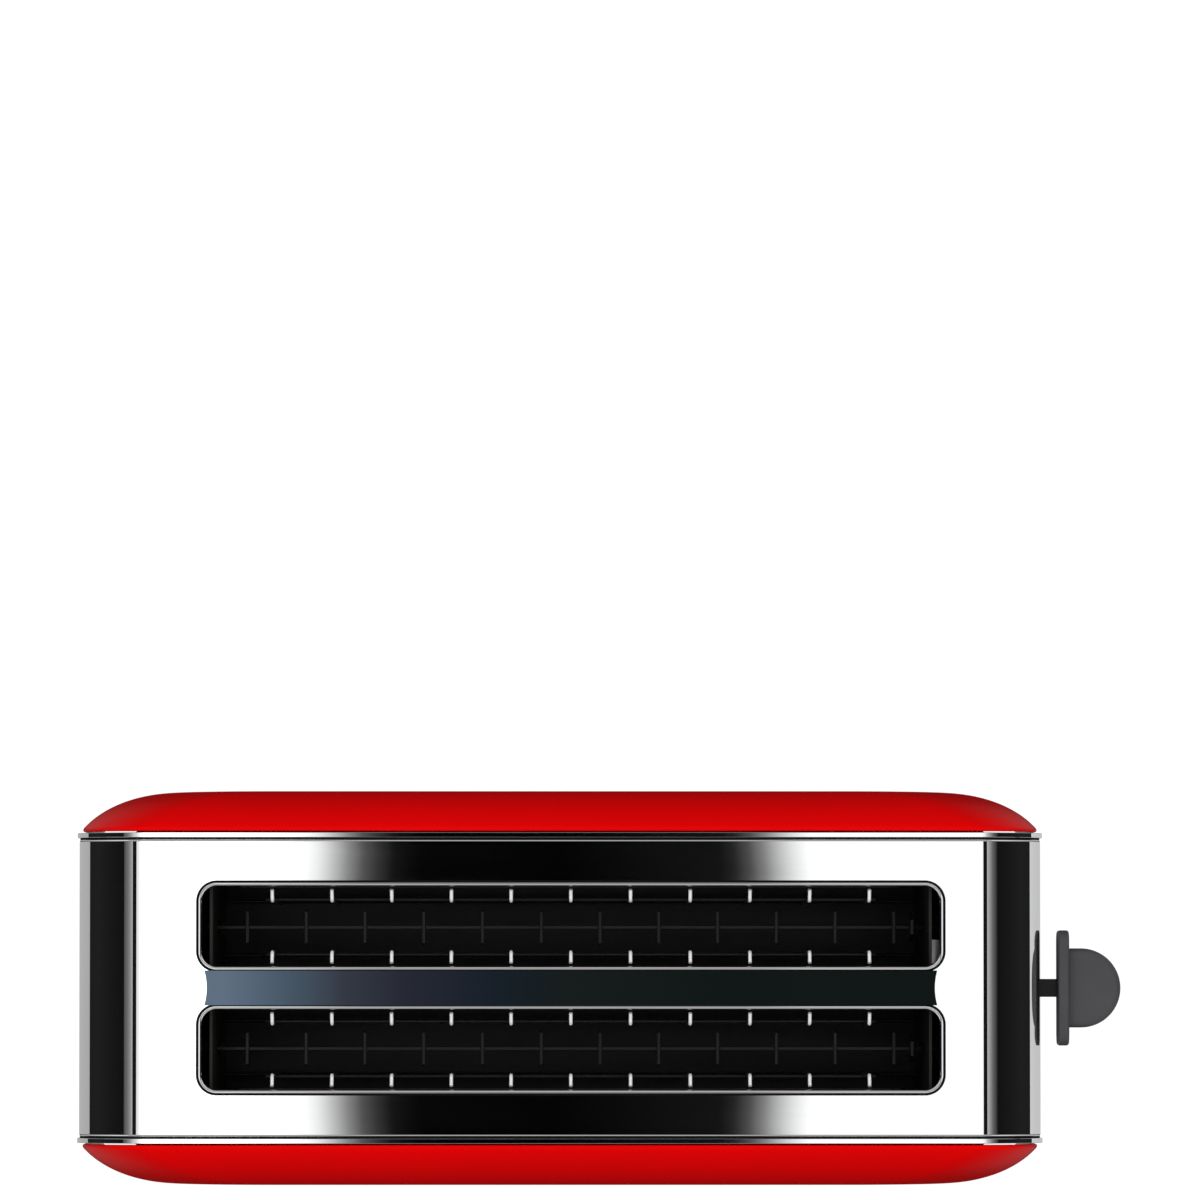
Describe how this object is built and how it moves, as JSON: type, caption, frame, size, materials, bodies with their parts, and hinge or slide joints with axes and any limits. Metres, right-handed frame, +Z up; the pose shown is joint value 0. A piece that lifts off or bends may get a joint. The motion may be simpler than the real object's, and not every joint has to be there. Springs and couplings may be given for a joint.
{
  "type": "pop up toaster",
  "caption": "Long-slot pop-up toaster with a polished steel wrap, domed red side panels, wire bread guards, a lever with a D-shaped knob, a dial, push buttons and a crumb tray.",
  "frame": {"origin": "on the table under the middle of the whole toaster, lever included, with the lever up", "axes": "+Z up, +X along the slots towards the lever, +Y to the rear panel"},
  "size_m": [0.4346, 0.164, 0.1911],
  "materials": {
    "polished_steel": "mirror polished stainless steel",
    "red_enamel": "gloss red enamel",
    "gloss_black": "gloss blue-black",
    "black_plastic": "satin",
    "knob_plastic": "satin charcoal",
    "rubber": "matt",
    "zinc_steel": "bright zinc plated",
    "wire_steel": "bright drawn",
    "aluminium": "satin",
    "mica": "matt sheet",
    "nichrome": "oxidised",
    "copper": "enamelled winding",
    "circuit": "solder resist",
    "terminal": "satin"
  },
  "bodies": {
    "housing": {"steel_wrap": "polished_steel", "panel_front": "red_enamel", "panel_rear": "red_enamel", "centre_strip": "gloss_black", "base": "black_plastic", "cord_gland": "rubber", "foot_1": "rubber", "foot_2": "rubber", "foot_3": "rubber", "foot_4": "rubber", "base_screw_1": "zinc_steel", "base_screw_2": "zinc_steel", "base_screw_3": "zinc_steel", "base_screw_4": "zinc_steel", "end_plate_left": "zinc_steel", "end_plate_right": "zinc_steel", "reflector_front": "zinc_steel", "reflector_rear": "zinc_steel", "heater_board_front": "mica", "heater_board_centre": "mica", "heater_board_rear": "mica", "ribbon_front_outer": "nichrome", "ribbon_front_inner": "nichrome", "ribbon_rear_outer": "nichrome", "ribbon_rear_inner": "nichrome", "guide_rod": "wire_steel", "rod_bracket": "zinc_steel", "magnet_core": "zinc_steel", "magnet_coil": "copper", "control_board": "circuit", "board_connector": "terminal", "dial_sensor": "zinc_steel", "control_panel": "gloss_black"},
    "carriage": {"rack_front": "wire_steel", "rack_rear": "wire_steel", "carriage_bracket": "zinc_steel", "carriage_slider": "black_plastic", "latch_plate": "zinc_steel", "lever_neck": "black_plastic", "lever_knob": "knob_plastic", "lift_spring": "wire_steel"},
    "tray": {"crumb_tray": "aluminium", "tray_handle": "black_plastic"},
    "dial_group": {"dial": "black_plastic", "dial_shaft": "zinc_steel"},
    "guard_front_near_body": {"guard_front_near": "wire_steel"},
    "guard_front_far_body": {"guard_front_far": "wire_steel"},
    "guard_rear_near_body": {"guard_rear_near": "wire_steel"},
    "guard_rear_far_body": {"guard_rear_far": "wire_steel"},
    "button_cancel_body": {"button_cancel": "knob_plastic"},
    "button_defrost_body": {"button_defrost": "knob_plastic"},
    "button_reheat_body": {"button_reheat": "knob_plastic"}
  },
  "joints": [
    {"name": "lever_slide", "type": "slide", "parent": "housing", "child": "carriage", "axis": [0, 0, -1], "range_m": [0, 0.07], "stiffness_N_per_m": 60, "springref_m": -0.09, "deforming": ["lift_spring"]},
    {"name": "tray_slide", "type": "slide", "parent": "housing", "child": "tray", "axis": [-1, 0, 0], "range_m": [0, 0.3]},
    {"name": "dial_turn", "type": "hinge", "parent": "housing", "child": "dial_group", "pos_m": [0.1864, 0, 0.046], "axis": [1, 0, 0], "range_deg": [-135, 135]},
    {"name": "cancel_press", "type": "slide", "parent": "housing", "child": "button_cancel_body", "axis": [-1, 0, 0], "range_m": [0, 0.0018], "stiffness_N_per_m": 400, "springref_m": -0.003},
    {"name": "defrost_press", "type": "slide", "parent": "housing", "child": "button_defrost_body", "axis": [-1, 0, 0], "range_m": [0, 0.0018], "stiffness_N_per_m": 400, "springref_m": -0.003},
    {"name": "reheat_press", "type": "slide", "parent": "housing", "child": "button_reheat_body", "axis": [-1, 0, 0], "range_m": [0, 0.0018], "stiffness_N_per_m": 400, "springref_m": -0.003},
    {"name": "guard_front_near_tilt", "type": "hinge", "parent": "housing", "child": "guard_front_near_body", "pos_m": [-0.012, -0.03705, 0.038], "axis": [1, 0, 0], "range_deg": [-3.5, 0]},
    {"name": "guard_front_far_tilt", "type": "hinge", "parent": "housing", "child": "guard_front_far_body", "pos_m": [-0.012, -0.01395, 0.038], "axis": [1, 0, 0], "range_deg": [0, 3.5]},
    {"name": "guard_rear_near_tilt", "type": "hinge", "parent": "housing", "child": "guard_rear_near_body", "pos_m": [-0.012, 0.01395, 0.038], "axis": [1, 0, 0], "range_deg": [-3.5, 0]},
    {"name": "guard_rear_far_tilt", "type": "hinge", "parent": "housing", "child": "guard_rear_far_body", "pos_m": [-0.012, 0.03705, 0.038], "axis": [1, 0, 0], "range_deg": [0, 3.5]}
  ],
  "couplings": [
    {"joint": "guard_front_near_tilt", "follows": "lever_slide", "rad_per_m": -0.85},
    {"joint": "guard_front_far_tilt", "follows": "lever_slide", "rad_per_m": 0.85},
    {"joint": "guard_rear_near_tilt", "follows": "lever_slide", "rad_per_m": -0.85},
    {"joint": "guard_rear_far_tilt", "follows": "lever_slide", "rad_per_m": 0.85}
  ]
}
